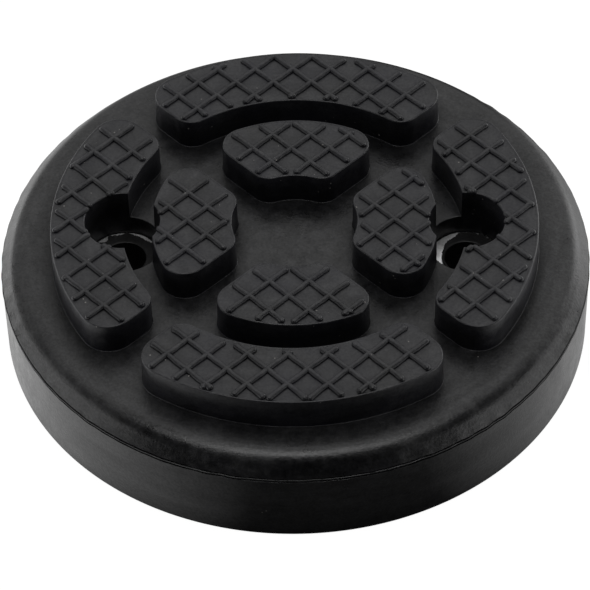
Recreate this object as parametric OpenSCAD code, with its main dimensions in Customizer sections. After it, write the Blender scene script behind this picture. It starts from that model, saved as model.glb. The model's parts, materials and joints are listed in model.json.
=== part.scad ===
// Round moulded lift pad: a rubber disc with eight raised tread blocks on its deck,
// vulcanised round a steel plate that two bolts hold down.
// Origin at the centre of the underside, +Z up through the tread, +X through the bolt holes.

/* [Disc] */
// Widest diameter of the disc, over the flash at the parting line
pad_d = 150; // [146:1:200]
// Height of the deck above the underside
deck_h = 26; // [25:0.5:34]
// Height of the parting line above the underside
parting_h = 20.4; // [18:0.2:21.6]
// Radius of the rounded shoulder between the deck and the parting line
shoulder_r = 10; // [7:0.5:14]
// How far the side wall leans in from the parting line down to the underside
wall_lean = 0.2; // [0:0.1:2]
// Radius of the bottom edge
foot_r = 0.4; // [0.3:0.1:2]
// How far the flash stands out at the parting line
flash_out = 0.25; // [0.1:0.05:0.6]
// Thickness of the flash
flash_t = 0.4; // [0.2:0.05:0.8]

/* [Tread blocks] */
// Height of a tread block above the deck
block_h = 8; // [5:0.5:12]
// Width of the bare rim outside the outer blocks
rim_w = 13.4; // [11:0.2:16]
// Width of an outer block, measured along a radius
outer_block_w = 18.1; // [15:0.1:20]
// Width of the ring channel between outer and inner blocks
ring_channel_w = 7.3; // [5:0.1:9]
// Width of an inner block, measured along a radius
inner_block_w = 20.4; // [17:0.1:23]
// Width of the straight channels that cross the deck diagonally
cross_channel_w = 8.5; // [6:0.5:11]
// Corner radius of an outer block at its rim side
outer_corner_r = 7; // [4:0.5:8]
// Corner radius of an inner block at its rim side
inner_corner_r = 6; // [4:0.5:7]
// Corner radius of every block at the side that faces the centre
hub_corner_r = 5; // [4:0.5:6]

/* [Ribs] */
// Distance between neighbouring ribs
rib_pitch = 6.96; // [6:0.02:9]
// Width of a rib at the block's top
rib_w = 1.7; // [1.2:0.1:2.2]
// Height of a rib above the block's top
rib_h = 0.9; // [0.5:0.1:1.3]
// Distance of the first rib from the middle of the diagonal channel
rib_start = 11.5; // [10:0.1:13]
// Smooth border that the ribs leave along a block's edge
rib_border = 0.8; // [0.5:0.1:2]
// Shift of the whole rib pattern towards +X, from an off-centre mould insert
rib_shift_x = -1.0; // [-1.5:0.1:1.5]
// Shift of the whole rib pattern towards +Y
rib_shift_y = -0.8; // [-1.5:0.1:1.5]

/* [Bolt holes and plate] */
// Distance between the two bolt holes
bolt_spacing = 87; // [82:0.5:92]
// Diameter of a bolt hole
bolt_hole_d = 11; // [8.5:0.5:12]
// Diameter of the recess for a bolt head
head_recess_d = 19; // [18:0.5:22]
// Thickness of the rubber below the steel plate
plate_base_h = 16; // [10:0.5:17]
// Thickness of the steel plate
plate_t = 4; // [2:0.5:4.5]
// Rubber cover round the edge of the steel plate
plate_cover = 12; // [6:0.5:15]
// Thickness of the rubber skin left on the steel in a bolt head recess
skin_t = 0.4; // [0.2:0.1:0.8]
// Width of the ring of skin that is left whole round a bolt hole
skin_ring_w = 2.2; // [1:0.1:2.5]
// Width of the skin left along the wall of a bolt head recess where the rest is torn away
skin_rim_w = 0.4; // [0.2:0.1:0.8]

/* [Hidden] */
$fn = 96;
arc_step = 5;
corner_step = 15;
block_sink = 1;
rib_sink = 0.3;
rib_crown = 0.45;
rib_least = 1.2;
cut_over = 2;

wall_r = pad_d / 2 - flash_out;
shoulder_drop = deck_h - parting_h - flash_t / 2;
deck_r = wall_r - sqrt(pow(shoulder_r, 2) - pow(shoulder_r - shoulder_drop, 2));
block_top = deck_h + block_h;
plate_top = plate_base_h + plate_t;
plate_r = pad_d / 2 - plate_cover;
channel_half = cross_channel_w / 2;
outer_ring = [pad_d / 2 - rim_w - outer_block_w, pad_d / 2 - rim_w, outer_corner_r];
inner_ring = [outer_ring[0] - ring_channel_w - inner_block_w, outer_ring[0] - ring_channel_w, inner_corner_r];
skin_r = bolt_hole_d / 2 + skin_ring_w;
// Where the skin is torn away and bare steel shows, as start and sweep angles round each bolt hole
right_tears = [[100, 105], [52, 16]];
left_tears = [[22, 48], [118, 26]];

// A block is laid out in the quarter between two diagonals, which are the axes u and v of its outline.
// The centre of a corner fillet that touches the channel at v = channel_half and the arc of radius r.
function corner(r, rise) = [sqrt(pow(r, 2) - pow(channel_half + rise, 2)), channel_half + rise];
function swap(p) = [p[1], p[0]];
function heading(p) = atan2(p[1], p[0]);
// Points of an arc from angle a0 to angle a1, both ends included
function arc(centre, r, a0, a1, step) =
    let (n = max(1, round(abs(a1 - a0) / step)))
    [for (i = [0:n]) centre + r * [cos(a0 + (a1 - a0) * i / n), sin(a0 + (a1 - a0) * i / n)]];

// Outline of a block, moved inwards by inset. ring holds the inner radius, outer radius and rim corner radius.
function block_outline(ring, inset) =
    let (
        rim = corner(ring[1] - ring[2], ring[2]),
        hub = corner(ring[0] + hub_corner_r, hub_corner_r),
        rim_r = ring[2] - inset,
        hub_r = hub_corner_r - inset,
        tilt = heading(rim),
        slant = heading(hub)
    )
    concat(
        arc(rim, rim_r, -90, tilt, corner_step),
        arc([0, 0], ring[1] - inset, tilt + arc_step, 90 - tilt - arc_step, arc_step),
        arc(swap(rim), rim_r, 90 - tilt, 180, corner_step),
        arc(swap(hub), hub_r, 180, 270 - slant, corner_step),
        arc([0, 0], ring[0] + inset, 90 - slant - arc_step, slant + arc_step, arc_step),
        arc(hub, hub_r, 180 + slant, 270, corner_step)
    );

// Where a rib's centre line at v may run: its lowest and highest u inside the outline moved in by inset
function rib_high(ring, inset, v) =
    let (rim = corner(ring[1] - ring[2], ring[2]), r = ring[2] - inset, k = (ring[1] - inset) / (ring[1] - ring[2]))
    v < rim[1] * k ? rim[0] + sqrt(max(0, pow(r, 2) - pow(v - rim[1], 2)))
    : v < rim[0] * k ? sqrt(pow(ring[1] - inset, 2) - pow(v, 2))
    : rim[1] + sqrt(max(0, pow(r, 2) - pow(v - rim[0], 2)));
function rib_low(ring, inset, v) =
    let (
        rim = corner(ring[1] - ring[2], ring[2]),
        hub = corner(ring[0] + hub_corner_r, hub_corner_r),
        r = hub_corner_r - inset,
        k = (ring[0] + inset) / (ring[0] + hub_corner_r)
    )
    v < hub[1] * k ? hub[0] - sqrt(max(0, pow(r, 2) - pow(v - hub[1], 2)))
    : v < hub[0] * k ? sqrt(pow(ring[0] + inset, 2) - pow(v, 2))
    : v < hub[0] ? hub[1] - sqrt(max(0, pow(r, 2) - pow(v - hub[0], 2)))
    : v < rim[0] ? channel_half + inset
    : rim[1] - sqrt(max(0, pow(ring[2] - inset, 2) - pow(v - rim[0], 2)));

// The stretch [from, to] of the rib at v inside the block, or nothing where it would be too short
function rib_run(ring, v) =
    let (
        inset = rib_border + rib_w / 2,
        low = rib_low(ring, inset, v),
        high = rib_high(ring, inset, v)
    )
    v < channel_half + inset || high - low < rib_least ? [] : [[low, high]];

// One tread block, sunk a little into the disc
module block(ring) {
    translate([0, 0, deck_h - block_sink]) linear_extrude(block_h + block_sink) polygon(block_outline(ring, 0));
}

// One rib with sloping flanks, whose centre line runs along u from low to high
module rib(low, high) {
    half = rib_w / 2;
    crown = half * rib_crown;
    section = [[-half, -rib_sink], [half, -rib_sink], [half, 0], [crown, rib_h], [-crown, rib_h], [-half, 0]];
    translate([low - half, 0, block_top]) rotate([90, 0, 90]) linear_extrude(high - low + rib_w) polygon(section);
}

// The two crossing families of ribs on one block that is turned by angle turn from the +X side
module ribs(ring, turn) {
    shift_x = rib_shift_x * cos(turn) + rib_shift_y * sin(turn);
    shift_y = rib_shift_y * cos(turn) - rib_shift_x * sin(turn);
    shift_u = (shift_x - shift_y) / sqrt(2);
    shift_v = (shift_x + shift_y) / sqrt(2);
    last = ceil((ring[1] - rib_start) / rib_pitch);
    for (k = [-1:last]) {
        along_v = rib_start + k * rib_pitch + shift_v;
        for (run = rib_run(ring, along_v)) translate([0, along_v, 0]) rib(run[0], run[1]);
        along_u = rib_start + k * rib_pitch + shift_u;
        for (run = rib_run(ring, along_u)) translate([along_u, 0, 0]) rotate(90) rib(run[0], run[1]);
    }
}

// The disc turned from its half section
module disc() {
    shoulder_z = deck_h - shoulder_r;
    shoulder_end = asin((shoulder_r - shoulder_drop) / shoulder_r);
    foot_x = wall_r - wall_lean - foot_r;
    rotate_extrude() polygon(concat(
        [[0, 0]],
        arc([foot_x, foot_r], foot_r, -90, 0, 22.5),
        [
            [wall_r, parting_h - flash_t / 2],
            [pad_d / 2, parting_h - flash_t / 2],
            [pad_d / 2, parting_h + flash_t / 2]
        ],
        arc([deck_r, shoulder_z], shoulder_r, shoulder_end, 90, 7),
        [[0, deck_h]]
    ));
}

// The steel disc, also the shape of its pocket in the rubber
module plate_blank() {
    translate([0, 0, plate_base_h]) cylinder(h = plate_t, r = plate_r);
}

module at_bolts() {
    for (side = [-1, 1]) translate([side * bolt_spacing / 2, 0, 0]) children();
}

// A torn window in the skin, between the ring round the bolt hole and the wall of the recess
module tear(angles) {
    rotate(angles[0]) translate([0, 0, plate_top - skin_t]) rotate_extrude(angle = angles[1])
        translate([skin_r, 0]) square([head_recess_d / 2 - skin_rim_w - skin_r, skin_t * 3]);
}

// The whole rubber moulding
module rubber_pad() {
    color([0.13, 0.13, 0.135]) difference() {
        union() {
            disc();
            for (turn = [0:90:270], ring = [outer_ring, inner_ring]) rotate(turn - 45) {
                block(ring);
                ribs(ring, turn);
            }
        }
        plate_blank();
        at_bolts() {
            translate([0, 0, -cut_over]) cylinder(h = block_top + 2 * cut_over, d = bolt_hole_d);
            translate([0, 0, plate_top + skin_t]) cylinder(h = block_top, d = head_recess_d);
        }
        translate([bolt_spacing / 2, 0, 0]) for (t = right_tears) tear(t);
        translate([-bolt_spacing / 2, 0, 0]) for (t = left_tears) tear(t);
    }
}

// The steel plate moulded into the disc
module steel_plate() {
    color([0.78, 0.78, 0.8]) difference() {
        plate_blank();
        at_bolts() cylinder(h = plate_top + cut_over, d = bolt_hole_d);
    }
}

rubber_pad();
steel_plate();
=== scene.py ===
import json
import bpy
import numpy as np
from mathutils import Matrix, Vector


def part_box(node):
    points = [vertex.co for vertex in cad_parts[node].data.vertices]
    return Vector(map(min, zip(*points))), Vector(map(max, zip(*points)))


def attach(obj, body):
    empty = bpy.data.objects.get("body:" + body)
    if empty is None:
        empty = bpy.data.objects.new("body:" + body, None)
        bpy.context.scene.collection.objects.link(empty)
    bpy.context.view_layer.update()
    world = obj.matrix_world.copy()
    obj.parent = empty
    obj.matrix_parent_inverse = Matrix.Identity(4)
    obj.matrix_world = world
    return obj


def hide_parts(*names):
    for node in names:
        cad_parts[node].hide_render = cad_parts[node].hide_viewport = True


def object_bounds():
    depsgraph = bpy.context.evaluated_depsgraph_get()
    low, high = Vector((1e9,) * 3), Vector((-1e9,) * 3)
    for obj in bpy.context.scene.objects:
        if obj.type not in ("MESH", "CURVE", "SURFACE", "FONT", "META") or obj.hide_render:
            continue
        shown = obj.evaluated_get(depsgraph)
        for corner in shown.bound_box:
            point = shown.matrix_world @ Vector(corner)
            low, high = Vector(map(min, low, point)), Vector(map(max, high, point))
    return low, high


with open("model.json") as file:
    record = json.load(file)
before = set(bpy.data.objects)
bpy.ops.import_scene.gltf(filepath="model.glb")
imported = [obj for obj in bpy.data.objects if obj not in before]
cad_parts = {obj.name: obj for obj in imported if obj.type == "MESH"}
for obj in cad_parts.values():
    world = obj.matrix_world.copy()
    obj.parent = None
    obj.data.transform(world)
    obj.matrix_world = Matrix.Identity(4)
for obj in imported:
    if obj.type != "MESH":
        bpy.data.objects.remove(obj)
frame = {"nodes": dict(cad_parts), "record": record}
cad_low, cad_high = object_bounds()

# Rubber disc: the thick body of the pad, black rubber moulded in a two-part mould, whose parting line runs
# round the wall between two cut grooves, with a thin ragged flash. A rounded shoulder leads to the deck, and
# each bolt has a recess for its head, down to the steel moulded inside.
MM = 0.001
holes = [m for m in frame["record"]["mounts"] if m["kind"] == "bore"]
bolt_x = abs(holes[0]["pos_m"][0]) / MM
bolt_r = holes[0]["dims"]["r_mm"]
seat_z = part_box("steel_plate")[1].z / MM
plate_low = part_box("steel_plate")[0].z / MM
pad_r = cad_high[0] / MM
deck_z = 25.55
parting_z = 20.4
deck_r = 63.0
slope_r = (deck_r, 65.0, 67.0)
shoulder_r = 5.95
shoulder_at = (68.0, 19.6)
wall_r = pad_r - 0.25
wall_lean = 0.2
foot_r = 0.4
recess_r = 9.5
pocket_r = 9.2
edge_r = 0.35
# Section of the parting line, from the upper groove down to the lower one: radius from the wall, height
# from the line, and the shares of the flash's reach and of the grooves' depth that are added to the radius
parting_rows = [
    (-0.12, 0.62, 0, 0), (-0.13, 0.54, 0, -0.9), (-0.13, 0.16, 0, -0.9), (-0.05, 0.11, 0.5, 0),
    (-0.03, 0.08, 1, 0), (-0.03, -0.1, 1, 0), (-0.08, -0.13, 0.3, 0),
    (-0.1, -0.2, 0, -0.8), (-0.1, -0.58, 0, -0.8), (0, -0.68, 0, 0)]


def arc(centre, r, start, end, count):
    """Points of a circle's arc from angle start to angle end, in degrees: centre + r (cos, sin)."""
    a = np.radians(np.linspace(start, end, count))
    return np.stack([centre[0] + r * np.cos(a), centre[1] + r * np.sin(a)], 1)


def ragged(a, seed, waves=9):
    """A smooth uneven curve of the angle a, about -1 to 1: a sum of sines with whole wave counts."""
    draw = np.random.default_rng(seed)
    counts = draw.integers(2, 90, waves)
    phases = draw.uniform(0, 2 * np.pi, waves)
    return np.sin(np.multiply.outer(a, counts) + phases).sum(-1) / np.sqrt(waves)


def grid_faces(rows, cols):
    """Quads of a grid of rows by cols points whose last column joins the first."""
    i = np.arange(rows - 1)[:, None]
    j = np.arange(cols)
    k = (j + 1) % cols
    quads = np.stack([i * cols + j, i * cols + k, (i + 1) * cols + k, (i + 1) * cols + j], -1)
    return quads.reshape(-1, 4)


def surface(name, patches, material, sharp=32):
    """One mesh from patches of (points, quads) in mm: points closer than a micrometre are one point."""
    starts = np.cumsum([0] + [len(p) for p, _ in patches])
    points = np.vstack([p for p, _ in patches])
    quads = np.vstack([q + s for (_, q), s in zip(patches, starts)])
    _, first, same = np.unique(np.round(points, 3), axis=0, return_index=True, return_inverse=True)
    quads = same.reshape(-1)[quads]
    faces = [f[np.sort(np.unique(f, return_index=True)[1])].tolist() for f in quads]
    mesh = bpy.data.meshes.new(name)
    mesh.from_pydata((points[first] * MM).tolist(), [], [f for f in faces if len(f) > 2])
    mesh.validate()
    mesh.shade_smooth()
    mesh.set_sharp_from_angle(angle=np.radians(sharp))
    mesh.materials.append(material)
    piece = bpy.data.objects.new(name, mesh)
    bpy.context.scene.collection.objects.link(piece)
    return piece


def add_node(tree, kind, inputs=None, **settings):
    """A shader node with its settings and input values."""
    node = tree.nodes.new(kind)
    for key, value in settings.items():
        setattr(node, key, value)
    for key, value in (inputs or {}).items():
        if isinstance(value, bpy.types.NodeSocket):
            tree.links.new(value, node.inputs[key])
        else:
            node.inputs[key].default_value = value
    return node


def noise(tree, place, scale, detail, roughness=0.5):
    """The level of a noise pattern at place, about 0.5 in the middle."""
    return add_node(tree, "ShaderNodeTexNoise", {
        "Vector": place, "Scale": scale, "Detail": detail, "Roughness": roughness}).outputs["Fac"]


def remap(tree, value, start, end, low=0.0, high=1.0, blend="LINEAR"):
    """The value carried over from the range start to end to the range low to high, held at its ends."""
    return add_node(tree, "ShaderNodeMapRange", {
        "Value": value, "From Min": start, "From Max": end, "To Min": low, "To Max": high},
        interpolation_type=blend).outputs["Result"]


def calc(tree, operation, first, second=0.0):
    """The sum, product or other operation of two numbers or sockets."""
    return add_node(tree, "ShaderNodeMath", {0: first, 1: second}, operation=operation).outputs[0]


def rubber(name, dark, light, roughness, grain, specks, shine=0.5):
    """Moulded black rubber: a cloudy tone from dark to light under a film of grey grime and specks of
    pale dust. Its shine is uneven: wiped in streaks round the axis, gritty, and weaker in corners and
    hollows through ambient occlusion, which is painted shade."""
    material = bpy.data.materials.new(name)
    material.use_nodes = True
    tree = material.node_tree
    shader = tree.nodes["Principled BSDF"]
    place = add_node(tree, "ShaderNodeTexCoord").outputs["Object"]
    cloud = noise(tree, place, 60, 5, 0.6)
    grime = noise(tree, place, 420, 6, 0.75)
    fine = noise(tree, place, 1500, 3)
    haze = calc(tree, "ADD", cloud, grime)

    # Streaks: a noise in angle, radius and height, drawn out along the angle
    split = add_node(tree, "ShaderNodeSeparateXYZ", {"Vector": place})
    turn = calc(tree, "ARCTAN2", split.outputs["Y"], split.outputs["X"])
    flat = add_node(tree, "ShaderNodeVectorMath", {0: place, 1: (1, 1, 0)}, operation="MULTIPLY")
    radius = add_node(tree, "ShaderNodeVectorMath", {0: flat.outputs["Vector"]}, operation="LENGTH")
    polar = add_node(tree, "ShaderNodeCombineXYZ", {
        "X": calc(tree, "MULTIPLY", turn, 0.012), "Y": radius.outputs["Value"], "Z": split.outputs["Z"]})
    wipe = noise(tree, polar.outputs["Vector"], 260, 5, 0.62)

    # Colour: the cloudy tone, then the film of grime, then the dust
    tone = add_node(tree, "ShaderNodeValToRGB", {"Fac": cloud})
    tone.color_ramp.elements[0].position, tone.color_ramp.elements[1].position = 0.3, 0.72
    tone.color_ramp.elements[0].color, tone.color_ramp.elements[1].color = (*dark, 1), (*light, 1)
    smear = remap(tree, wipe, 0.48, 0.78, high=0.55)
    mottle = remap(tree, grime, 0.42, 0.8, high=0.45)
    film = calc(tree, "ADD", smear, mottle)
    veil = add_node(tree, "ShaderNodeMix", {
        0: film, "A": tone.outputs["Color"], "B": (0.022, 0.022, 0.024, 1)}, data_type="RGBA")
    dust = add_node(tree, "ShaderNodeTexVoronoi", {"Vector": place, "Scale": 620})
    near = calc(tree, "LESS_THAN", dust.outputs["Distance"], 0.13)
    some = calc(tree, "GREATER_THAN", noise(tree, place, 300, 2), 1 - specks)
    mix = add_node(tree, "ShaderNodeMix", {
        0: calc(tree, "MULTIPLY", near, some), "A": veil.outputs["Result"], "B": (0.2, 0.19, 0.18, 1)},
        data_type="RGBA")
    tree.links.new(mix.outputs["Result"], shader.inputs["Base Color"])

    # Shine: roughness follows the haze, and the strength of the reflection falls in corners by ambient
    # occlusion, as painted shade
    rough = remap(tree, haze, 0.7, 1.3, roughness - 0.1, roughness + 0.12)
    tree.links.new(rough, shader.inputs["Roughness"])
    # Painted shade: ambient occlusion weakens the reflection in corners, at the feet of the blocks and in the
    # bolt bores
    corner_shade = add_node(tree, "ShaderNodeAmbientOcclusion", {"Distance": 0.008}, samples=8)
    sheen_and_shade = remap(tree, corner_shade.outputs["AO"], 0.3, 0.92, 0.28 * shine, shine)
    sheen_and_shade = calc(tree, "MULTIPLY", sheen_and_shade, remap(tree, haze, 0.75, 1.25, 0.82, 1.2))
    sheen_and_shade = calc(tree, "MULTIPLY", sheen_and_shade, remap(tree, wipe, 0.3, 0.75, 0.85, 1.2))
    sheen_and_shade = calc(tree, "MULTIPLY", sheen_and_shade, remap(tree, fine, 0.3, 0.7, 0.8, 1.2))
    tree.links.new(sheen_and_shade, shader.inputs["Specular IOR Level"])
    bump = add_node(tree, "ShaderNodeBump", {"Height": fine, "Strength": grain, "Distance": 0.0001})
    tree.links.new(bump.outputs["Normal"], shader.inputs["Normal"])
    return material


# Painted shade: the disc's rubber is toned darker than the blocks' rubber, though both are one moulding, to
# stand for shade on the deck
shaded_body_rubber = rubber("shaded_body_rubber", (0.004, 0.004, 0.0045), (0.007, 0.007, 0.0075), 0.34, 0.5, 0.3)
foot_x = wall_r - wall_lean - foot_r
half_turn = np.linspace(-np.pi / 2, np.pi / 2, 361)
middle = np.linspace(1, -1, 121)[1:-1]


def half_rings(side, edge, rows):
    """Rings round one bolt axis. A row (0, r, z) is a circle of radius r at height z, and a row (t, r, z)
    lies t of the way from that circle to the half disc's edge: (1 - t) circle + t edge."""
    rim = np.stack([edge * np.cos(half_turn), edge * np.sin(half_turn)], 1)
    line = np.stack([0 * middle, edge * middle], 1)
    border = np.vstack([rim, line])
    ray = border - [bolt_x, 0]
    heading = ray / np.hypot(ray[:, 0], ray[:, 1])[:, None]
    points = []
    for t, r, z in rows:
        ring = (1 - t) * ([bolt_x, 0] + r * heading) + t * border
        points.append(np.column_stack([side * ring[:, 0], ring[:, 1], np.full(len(ring), z)]))
    return np.vstack(points), grid_faces(len(rows), len(border))


def disc_patches():
    """The disc as closed patches: rings round each bolt on deck and underside, and the rim turned round
    the axis. Tongue is the flash's reach, deep the grooves' depth and wander the line's drift, all
    uneven round the rim."""
    lip_r = recess_r + 2 * edge_r
    round_over = [(0, recess_r + edge_r - edge_r * np.cos(a), deck_z - edge_r + edge_r * np.sin(a))
                  for a in np.linspace(0, np.pi / 2, 6)]
    top = [(0, pocket_r, plate_low), (0, pocket_r, seat_z), (0, recess_r, seat_z)] + round_over
    top += [(t, lip_r, deck_z) for t in (0, 0.3, 0.65, 0.96, 1)]
    under = [(t, bolt_r + 3 * edge_r, 0) for t in (1, 0.98, 0.5, 0)]
    under += [(0, bolt_r + edge_r, 0), (0, bolt_r, edge_r)]
    under += [(0, bolt_r, plate_low), (0, pocket_r, plate_low)]
    patches = []
    for side in (1, -1):
        for edge, rows in ((deck_r, top), (foot_x, under)):
            points, quads = half_rings(side, edge, rows)
            patches.append((points, quads if side > 0 else quads[:, ::-1]))
    around = np.concatenate([half_turn, np.pi + half_turn[1:-1]])
    wander = 0.1 * ragged(around, 4, 16)
    aside = np.abs(np.cos(around))
    tongue = np.clip(0.12 + 0.05 * ragged(around, 7, 18), 0.02, 0.25) * (0.1 + 0.9 * aside)
    deep = 0.07 + 0.68 * aside + (0.02 + 0.1 * aside) * ragged(around, 11, 16)
    wall_z = parting_z - foot_r
    rows = [(r, deck_z, 0, 0, 0) for r in slope_r]
    rows += [(r, z, 0, 0, 0) for r, z in arc(shoulder_at, shoulder_r, 90, 38, 15)]
    rows += [(wall_r + r, parting_z + z, out, cut, 1) for r, z, out, cut in parting_rows]
    rows += [(wall_r - wall_lean * k, wall_z * (1 - k) + foot_r * k, 0, 0, 0) for k in (0.08, 0.5)]
    rows += [(r, z, 0, 0, 0) for r, z in arc([foot_x, foot_r], foot_r, 0, -90, 7)]
    rings = []
    for r, z, out, cut, drift in rows:
        radius = r + out * tongue + cut * deep
        height = z + drift * wander
        rings.append(np.column_stack([radius * np.cos(around), radius * np.sin(around), height]))
    patches.append((np.vstack(rings), grid_faces(len(rings), len(around))[:, ::-1]))
    return patches


disc = surface("disc", disc_patches(), shaded_body_rubber)
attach(disc, "root")
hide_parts("rubber_pad")

# Tread blocks: four outer and four inner blocks that stand on the deck, moulded in one with the disc.
# Each is a quarter of a ring with rounded corners, a nearly upright wall and a fine burr left along its
# top edge by the mould. The two blocks beside a bolt are cut by the recess for its head.
block_z = 34.0
outer_ring = (43.5, 61.6, 7.0)
inner_ring = (15.8, 36.2, 6.0)
hub_corner = 5.0
channel_half = 4.25
block_lean = 0.12
fillet_r = 0.3
fillet_sink = 0.03
notch_foot = 0.3
burr_z = 0.08
wall_top = block_z - 0.25
# Section of the top edge: inset from the outline and height over the block's top
top_edge = [
    (0.03, -0.15), (0.09, -0.05), (0.2, burr_z * 0.4), (0.36, burr_z), (0.46, burr_z), (0.6, 0), (0.9, 0)]


def corner(r, rise):
    """Centre of a corner fillet on the circle r that touches the channel's edge, rise away from it."""
    v = channel_half + rise
    return np.array([np.sqrt(r ** 2 - v ** 2), v])


def angle_of(p):
    """Direction of the point p seen from the axis, in degrees."""
    return np.degrees(np.arctan2(p[1], p[0]))


def block_outline(ring, inset, notch):
    """A block's outline moved in by inset, in its quarter's own axes: arcs of the ring's edges and of
    four corners. With notch, the middle of one side follows the recess circle, grown by notch, instead
    of the ring."""
    hub_r, rim_r, rim_corner = ring
    rim = corner(rim_r - rim_corner, rim_corner)
    hub = corner(hub_r + hub_corner, hub_corner)
    tilt, slant = angle_of(rim), angle_of(hub)
    bolt = np.array([bolt_x, bolt_x]) / np.sqrt(2)
    rim_side = arc([0, 0], rim_r - inset, tilt, 90 - tilt, 80)
    hub_side = arc([0, 0], hub_r + inset, 90 - slant, slant, 80)
    if notch is not None:
        r = recess_r + notch
        side_r = rim_r - inset if ring is inner_ring else hub_r + inset
        cos_cut = (side_r ** 2 + bolt_x ** 2 - r ** 2) / (2 * side_r * bolt_x)
        cut = np.degrees(np.arccos(cos_cut))
        ends = [side_r * np.array([np.cos(a), np.sin(a)]) - bolt for a in np.radians([45 - cut, 45 + cut])]
        first, last = angle_of(ends[0]), angle_of(ends[1])
        if ring is inner_ring:
            bite = arc(bolt, r, first, last - 360 if last > first else last, 42)
            rim_side = np.vstack([arc([0, 0], side_r, tilt, 45 - cut, 20)[:-1], bite,
                                  arc([0, 0], side_r, 45 + cut, 90 - tilt, 20)[1:]])
        else:
            bite = arc(bolt, r, last, first if first < last else first - 360, 42)
            hub_side = np.vstack([arc([0, 0], side_r, 90 - slant, 45 + cut, 20)[:-1], bite,
                                  arc([0, 0], side_r, 45 - cut, slant, 20)[1:]])
    return np.vstack([
        arc(rim, rim_corner - inset, -90, tilt, 16)[:-1], rim_side[:-1],
        arc(rim[::-1], rim_corner - inset, 90 - tilt, 180, 16),
        arc(hub[::-1], hub_corner - inset, 180, 270 - slant, 16)[:-1], hub_side[:-1],
        arc(hub, hub_corner - inset, 180 + slant, 270, 16)])


def block_patches(ring, turn):
    """A block as its outline carried up the section of its wall, closed by strips across its top.
    Where the recess cuts it, the wall goes on down to the seat."""
    notched = turn % 180 == 0
    wall_low = deck_z + fillet_r
    foot = deck_z - fillet_sink
    section = [(-(block_lean + fillet_r * (1 - np.sin(a))), foot + fillet_r * (1 - np.cos(a)))
               for a in np.linspace(0, np.pi / 2, 6)]
    section += [(-block_lean * (1 - k), wall_low + (wall_top - wall_low) * k) for k in (0.5, 1)]
    section += [(inset, block_z + z) for inset, z in top_edge]
    rings = []
    for inset, z in section:
        outline = block_outline(ring, inset, max(inset, -0.02) if notched else None)
        height = np.full(len(outline), z)
        if notched and z < wall_low:
            near = np.hypot(*(outline - bolt_x / np.sqrt(2)).T) < recess_r + 0.01
            height[near] = seat_z + notch_foot + (z - deck_z) * 0.1
        rings.append(np.column_stack([outline, height]))
    count = len(rings[0])
    points = np.vstack(rings)
    quads = grid_faces(len(rings), count)
    last = (len(rings) - 1) * count
    half = count // 2
    i = np.arange(half - 1)
    lid = last + np.stack([i, i + 1, count - 2 - i, count - 1 - i], -1)
    a = np.radians(turn - 45)
    spin = np.array([[np.cos(a), -np.sin(a), 0], [np.sin(a), np.cos(a), 0], [0, 0, 1]])
    return points @ spin.T, np.vstack([quads, lid])


block_rubber = rubber("block_rubber", (0.006, 0.006, 0.0065), (0.009, 0.009, 0.014), 0.42, 0.5, 0.36)
blocks = surface("tread_blocks", [block_patches(ring, turn) for turn in range(0, 360, 90)
                                  for ring in (outer_ring, inner_ring)], block_rubber)
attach(blocks, "root")
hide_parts("rubber_pad")

# Ribs: low half-round beads that cross on every block's top as a diamond grip. Each block's grooves were
# milled in the mould a little off their place, so each has its own shift, and the cutter left a ball end
# on every bead.
rib_pitch = 6.96
rib_half = 0.85
rib_high = cad_high[2] / MM - block_z - 0.02
rib_start = 11.5
rib_border = 0.8
# Shift of each block's ribs in mm, by the block's turn and ring
rib_shift = {
    (0, outer_ring): (-0.9, 0.4), (90, outer_ring): (-1.1, -0.6),
    (180, outer_ring): (-1.0, -0.1), (270, outer_ring): (-1.0, -0.1),
    (0, inner_ring): (-0.9, 0.1), (90, inner_ring): (-1.1, -0.6),
    (180, inner_ring): (-0.9, -0.3), (270, inner_ring): (-1.0, -0.3)}
end_shift = np.array([-0.2, -0.4])
rib_least = 1.2


def fall(r, d):
    """Height of a circle of radius r at the distance d from its middle: sqrt(r^2 - d^2)."""
    return np.sqrt(max(0, r ** 2 - d ** 2))


def rib_reach(ring, inset, v):
    """Lowest and highest u of a rib's centre line at v inside the block's outline moved in by inset."""
    hub_r, rim_r, rim_corner = ring
    rim = corner(rim_r - rim_corner, rim_corner)
    hub = corner(hub_r + hub_corner, hub_corner)
    out = (rim_r - inset) / (rim_r - rim_corner)
    within = (hub_r + inset) / (hub_r + hub_corner)
    if v < rim[1] * out:
        high = rim[0] + fall(rim_corner - inset, v - rim[1])
    elif v < rim[0] * out:
        high = fall(rim_r - inset, v)
    else:
        high = rim[1] + fall(rim_corner - inset, v - rim[0])
    if v < hub[1] * within:
        low = hub[0] - fall(hub_corner - inset, v - hub[1])
    elif v < hub[0] * within:
        low = fall(hub_r + inset, v)
    elif v < hub[0]:
        low = hub[1] - fall(hub_corner - inset, v - hub[0])
    elif v < rim[0]:
        low = channel_half + inset
    else:
        low = rim[1] - fall(rim_corner - inset, v - rim[0])
    return low, high


def rib_clear(points):
    """How far each point lies outside the recesses for the bolt heads, in mm."""
    return np.hypot(np.abs(points[:, 0]) - bolt_x, points[:, 1]) - recess_r


def rib_runs(ring, v):
    """The stretch (from, to) of the rib at v, or nothing where it would be too short."""
    inset = rib_border + rib_half
    low, high = rib_reach(ring, inset, v)
    return [(low, high)] if v > channel_half + inset and high - low > rib_least else []


def outside_recess(start, end):
    """The parts of the line from start to end that lie outside both bolt head recesses."""
    steps = np.linspace(0, 1, 400)[:, None]
    points = start + steps * (end - start)
    free = np.concatenate([[False], rib_clear(points) > rib_half * 0.6, [False]])
    turns = np.flatnonzero(np.diff(free.astype(int))).reshape(-1, 2)
    return [(points[i], points[j - 1]) for i, j in turns if j - i > 15]


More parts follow.
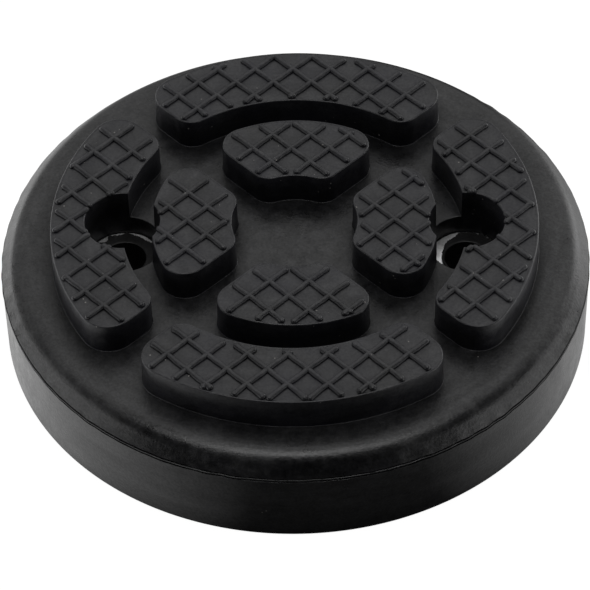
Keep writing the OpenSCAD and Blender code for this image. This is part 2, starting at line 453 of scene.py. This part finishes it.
def rib_patch(start, end, seed):
    """A bead from start to end: a half-round section whose width and height follow sqrt(1 - s^2) over
    its ball ends. Slow sines and a swelling at each end, drawn from seed, make it uneven."""
    draw = np.random.default_rng(seed)
    start, end = np.array(start, float), np.array(end, float)
    length = np.hypot(*(end - start))
    along = (end - start) / length
    across = np.array([-along[1], along[0]])
    ball = np.sin(np.linspace(-np.pi / 2, 0, 6))
    steps = np.linspace(0, length, max(3, int(length / 0.9)))
    t = np.concatenate([ball * rib_half, steps[1:-1], length - ball[::-1] * rib_half])
    beyond = np.clip(np.maximum(-t, t - length) / rib_half, 0, 1)
    swell = np.sqrt(1 - beyond ** 2)
    knob = np.exp(-(np.minimum(np.abs(t), np.abs(length - t)) / 0.7) ** 2)
    bulge = 0.2 * knob * draw.uniform(0.2, 1)
    width = rib_half * swell * (0.94 + bulge + 0.04 * np.sin(t * 1.7 + draw.uniform(0, 6)))
    height = rib_high * swell ** 0.8 * (0.9 + 0.05 * np.sin(t * 1.1 + draw.uniform(0, 6)) + 0.05 * knob)
    drift = 0.05 * np.sin(t * 0.8 + draw.uniform(0, 6))
    a = np.linspace(0, np.pi, 11)
    side = np.cos(a)[None, :] * width[:, None] + drift[:, None]
    rise = np.sin(a)[None, :] ** 0.9 * height[:, None]
    side = np.column_stack([side[:, 0], side, side[:, -1]])
    rise = np.column_stack([0 * t - 0.25, rise, 0 * t - 0.25])
    base = start + t[:, None] * along
    x = base[:, 0, None] + side * across[0]
    y = base[:, 1, None] + side * across[1]
    points = np.dstack([x, y, block_z + rise])
    return points.reshape(-1, 3), grid_faces(len(t), side.shape[1])[:, ::-1]


def all_ribs():
    """Both families of ribs on every block, laid out in the block's quarter and turned to its place."""
    patches = []
    for turn in range(0, 360, 90):
        a = np.radians(turn - 45)
        spin = np.array([[np.cos(a), -np.sin(a)], [np.sin(a), np.cos(a)]])
        past = end_shift @ spin
        for ring in (outer_ring, inner_ring):
            shift = np.array(rib_shift[turn, ring]) @ spin
            lines = rib_start + rib_pitch * np.arange(-1, 9)
            for u, v in ((0, 1), (1, 0)):
                for line in lines[lines < ring[1]] + shift[v]:
                    for low, high in rib_runs(ring, line):
                        ends = np.zeros((2, 2))
                        ends[:, u] = low + past[u], high + past[u]
                        ends[:, v] = line
                        ends = ends @ spin.T
                        for start, end in outside_recess(ends[0], ends[1]):
                            patches.append(rib_patch(start, end, len(patches)))
    return patches


ribs = surface("tread_ribs", all_ribs(), block_rubber, 60)
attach(ribs, "root")
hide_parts("rubber_pad")

# Torn skin: a film of rubber that ran over the steel at the bottom of each bolt head recess. It holds as
# a ring round the bolt hole and along the wall, and is torn away between them, where bare steel shows.
skin_t = 0.4
# Outer edge of the ring round each hole, and inner edge of what is left at the wall, as angle and radius
right_ring = [
    (0, 9.5), (40, 9.5), (45, 9.0), (52, 8.8), (58, 8.9), (61, 9.4), (66, 9.2), (69, 8.7), (73, 9.0),
    (88, 8.95), (98, 8.8), (104, 8.5), (110, 7.9), (116, 7.5), (127, 7.35), (134, 7.3), (147, 6.65),
    (165, 6.15), (180, 5.95), (198, 5.9), (206, 6.1), (212, 7.4), (218, 9.5)]
right_wall = [
    (0, 9.5), (60, 9.5), (64, 9.2), (66, 9.5), (112, 9.45), (122, 9.15), (128, 9.45), (200, 9.45),
    (360, 9.5)]
left_ring = [
    (0, 9.5), (30, 9.5), (38, 8.5), (50, 8.0), (62, 8.2), (73, 8.35), (80, 8.5), (86, 8.8), (89, 9.3),
    (92, 8.8), (97, 8.3), (102, 8.1), (108, 8.4), (114, 8.5), (118, 9.0), (122, 8.8), (126, 7.8),
    (132, 7.6), (139, 8.3), (146, 9.5)]
left_wall = [
    (0, 9.5), (34, 9.3), (43, 9.1), (56, 9.3), (86, 9.2), (103, 9.15), (117, 9.25), (124, 9.4), (360, 9.5)]


def skin_patches(side, ring, wall, seed):
    """Two polar strips of film round a bolt axis, each with a torn edge at a wandering radius that curls
    up. The inner strip also lines the bore through the plate."""
    a = np.linspace(0, 2 * np.pi, 361)[:-1]
    torn = 0.1 * ragged(a, seed, 18)
    ring_r = np.interp(np.degrees(a), *np.array(ring).T, period=360) + torn
    wall_in = np.interp(np.degrees(a), *np.array(wall).T, period=360) + 0.6 * torn
    ring_r = np.clip(ring_r, bolt_r + 0.3, recess_r + 0.05)
    wall_in = np.clip(wall_in, bolt_r + 0.3, recess_r - 0.05)
    top = seat_z + skin_t
    curl = 0.08 * (1 + ragged(a, seed + 1, 12))
    bore = bolt_r - 0.05 + 0 * a
    inner = [(bore, plate_low + 0.02), (bore, top - 0.12), (bolt_r + 0.12, top - 0.02),
             (bolt_r + 0.28, top + 0.02), (bolt_r + 0.75, top), (0.4 * bolt_r + 0.6 * ring_r, top),
             (ring_r - 0.25, top + curl * 0.5), (ring_r - 0.08, top + curl), (ring_r, top - 0.1),
             (ring_r + 0.03, seat_z - 0.02)]
    outer = [(wall_in - 0.04, seat_z - 0.02), (wall_in, top - 0.1), (wall_in + 0.08, top),
             (recess_r + 0 * a, top + 0.15)]
    patches = []
    for rows in (inner, outer):
        rings = [np.column_stack([side * bolt_x + r * np.cos(a), r * np.sin(a), z + 0 * a])
                 for r, z in rows]
        patches.append((np.vstack(rings), grid_faces(len(rings), len(a))))
    return patches


# The skin reflects far less than the rest of the rubber: partly the dull torn film, partly painted shade in
# the bolt bores and recesses
skin_rubber = rubber("skin_rubber", (0.006, 0.006, 0.006), (0.010, 0.010, 0.010), 0.5, 0.6, 0.34, 0.22)
both_skins = skin_patches(1, right_ring, right_wall, 3) + skin_patches(-1, left_ring, left_wall, 5)
torn_skin = surface("torn_skin", both_skins, skin_rubber, 50)
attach(torn_skin, "root")
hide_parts("rubber_pad")


# Steel plate: the flat disc that the rubber is vulcanised round. It is plain mild steel, cut and drilled
# before it goes into the mould, and shows bright where the skin has come away from it.
def bare_steel():
    """Bright mill-finished steel with dull, rougher stains left by the rubber."""
    material = bpy.data.materials.new("bare_steel")
    material.use_nodes = True
    tree = material.node_tree
    shader = tree.nodes["Principled BSDF"]
    shader.inputs["Metallic"].default_value = 1.0
    place = add_node(tree, "ShaderNodeTexCoord").outputs["Object"]
    stain = noise(tree, place, 260, 6, 0.65)
    tone = add_node(tree, "ShaderNodeValToRGB", {"Fac": stain})
    tone.color_ramp.elements[0].position, tone.color_ramp.elements[1].position = 0.35, 0.6
    tone.color_ramp.elements[0].color = (0.5, 0.5, 0.5, 1)
    tone.color_ramp.elements[1].color = (0.93, 0.93, 0.94, 1)
    tree.links.new(tone.outputs["Color"], shader.inputs["Base Color"])
    tree.links.new(remap(tree, stain, 0, 1, 0.55, 0.38), shader.inputs["Roughness"])
    bump = add_node(tree, "ShaderNodeBump", {"Height": stain, "Strength": 0.3, "Distance": 0.0001})
    tree.links.new(bump.outputs["Normal"], shader.inputs["Normal"])
    return material


plate = frame["nodes"]["steel_plate"]
plate.data.materials.clear()
plate.data.materials.append(bare_steel())

# Studio: a light tent that is white behind the object and open, so dark, towards the camera, a lamp overhead,
# a low one behind at the right and two low strips at the sides. The floor is white to the camera; in the
# rubber it shows a painted reflection, bright at the left and right and dark in front. The camera is above
# the front.
centre = np.array([-0.00030, 0.00601, 0.0])
azimuth, elevation, roll = np.radians([1.69, 46.80, -1.35])
distance = 0.971
focal_px = 3737
frame_px = 590


def camera_axes():
    """Unit vectors right, up and back of a camera turned by azimuth round the object, raised and rolled."""
    level = np.cos(elevation)
    back = np.array([np.sin(azimuth) * level, -np.cos(azimuth) * level, np.sin(elevation)])
    right = np.array([np.cos(azimuth), np.sin(azimuth), 0])
    up = np.cross(back, right)
    return (np.cos(roll) * right + np.sin(roll) * up, np.cos(roll) * up - np.sin(roll) * right, back)


right, up, back = camera_axes()
turned = np.array([
    [np.cos(azimuth), -np.sin(azimuth), 0], [np.sin(azimuth), np.cos(azimuth), 0], [0, 0, 1]])
lens = bpy.data.cameras.new("camera")
lens.sensor_width = 36
lens.lens = focal_px * lens.sensor_width / frame_px
camera = bpy.data.objects.new("camera", lens)
pose = np.eye(4)
pose[:3, 0], pose[:3, 1], pose[:3, 2] = right, up, back
pose[:3, 3] = turned @ centre + distance * back
camera.matrix_world = Matrix(pose.tolist())
bpy.context.scene.collection.objects.link(camera)
bpy.context.scene.camera = camera


def softbox(name, place, target, size, power):
    """A rectangular area lamp at place, facing target, both in metres."""
    data = bpy.data.lights.new(name, "AREA")
    data.shape = "RECTANGLE"
    data.size, data.size_y = size
    data.energy = power
    lamp = bpy.data.objects.new(name, data)
    away = np.array(place, float) - np.array(target, float)
    away /= np.linalg.norm(away)
    side = np.cross([0, 1, 0.001], away)
    side /= np.linalg.norm(side)
    turn = np.eye(4)
    turn[:3, 0], turn[:3, 1], turn[:3, 2], turn[:3, 3] = side, np.cross(away, side), away, place
    lamp.matrix_world = Matrix(turn.tolist())
    bpy.context.scene.collection.objects.link(lamp)


softbox("top", (0, -0.12, 1.2), (0, 0, 0.02), (0.9, 0.45), 4.6)
softbox("back_right", (0.86, 0.8, 0.24), (0, 0, 0.02), (0.46, 0.38), 1.6)
softbox("left", (-1.12, -0.25, 0.33), (0, 0, 0.02), (0.5, 1.0), 2.3)
softbox("right", (1.12, -0.25, 0.33), (0, 0, 0.02), (0.5, 1.0), 2.3)


def pale_floor():
    """White to the camera. To glossy rays it glows by its direction from the middle, more at the left
    than at the right, but not within the object's foot, and more again far out: a painted reflection of
    lit paper at the sides and of shade in front. Other light sees plain grey paper."""
    material = bpy.data.materials.new("pale_floor")
    material.use_nodes = True
    tree = material.node_tree
    tree.nodes.remove(tree.nodes["Principled BSDF"])
    seen = add_node(tree, "ShaderNodeLightPath")
    place = add_node(tree, "ShaderNodeTexCoord").outputs["Object"]
    way = add_node(tree, "ShaderNodeVectorMath", {0: place}, operation="NORMALIZE")
    x = add_node(tree, "ShaderNodeSeparateXYZ", {"Vector": way.outputs["Vector"]}).outputs["X"]
    reach = add_node(tree, "ShaderNodeVectorMath", {0: place}, operation="LENGTH").outputs["Value"]
    left = remap(tree, x, -0.15, -0.93, high=1.1)
    right = remap(tree, x, 0.5, 0.97, high=0.75)
    near = calc(tree, "MULTIPLY", calc(tree, "ADD", left, right), remap(tree, reach, 0.066, 0.074))
    wide = remap(tree, calc(tree, "ABSOLUTE", x), 0.4, 0.75, blend="SMOOTHSTEP")
    far = calc(tree, "MULTIPLY", remap(tree, reach, 0.12, 0.25, high=1.7, blend="SMOOTHSTEP"), wide)
    # Painted reflection: what glossy rays see here, bright at the sides and dark in front where the object's
    # shadow would fall
    painted_reflection = calc(tree, "MULTIPLY", seen.outputs["Is Glossy Ray"], calc(tree, "ADD", near, far))
    direct = calc(tree, "MAXIMUM", seen.outputs["Is Camera Ray"], seen.outputs["Is Transmission Ray"])
    level = calc(tree, "ADD", painted_reflection, calc(tree, "MULTIPLY", direct, 0.96))
    glow = add_node(tree, "ShaderNodeEmission", {"Color": (1, 1, 1, 1), "Strength": level})
    paper = add_node(tree, "ShaderNodeBsdfDiffuse", {"Color": (0.14, 0.14, 0.14, 1)})
    both = add_node(tree, "ShaderNodeAddShader", {0: glow.outputs[0], 1: paper.outputs[0]})
    tree.links.new(both.outputs[0], tree.nodes["Material Output"].inputs["Surface"])
    return material


floor_mesh = bpy.data.meshes.new("floor")
floor_half = 4
corners = [(x * floor_half, y * floor_half, 0) for x, y in ((-1, -1), (1, -1), (1, 1), (-1, 1))]
floor_mesh.from_pydata(corners, [], [(0, 1, 2, 3)])
floor_mesh.materials.append(pale_floor())
floor = bpy.data.objects.new("floor", floor_mesh)
bpy.context.scene.collection.objects.link(floor)

world = bpy.data.worlds.new("world")
world.use_nodes = True
bpy.context.scene.world = world
sky = world.node_tree
heading = add_node(sky, "ShaderNodeTexCoord").outputs["Generated"]
split = add_node(sky, "ShaderNodeSeparateXYZ", {"Vector": heading})
tent = remap(sky, split.outputs["Y"], 0.1, 0.5, blend="SMOOTHSTEP")
fade = remap(sky, split.outputs["Z"], 0.0, 0.7, 0.4, 0.95)
sky.links.new(calc(sky, "MULTIPLY", tent, fade), sky.nodes["Background"].inputs["Strength"])
sky.nodes["Background"].inputs["Color"].default_value = (1, 1, 1, 1)
bpy.context.scene.view_settings.view_transform = "Standard"
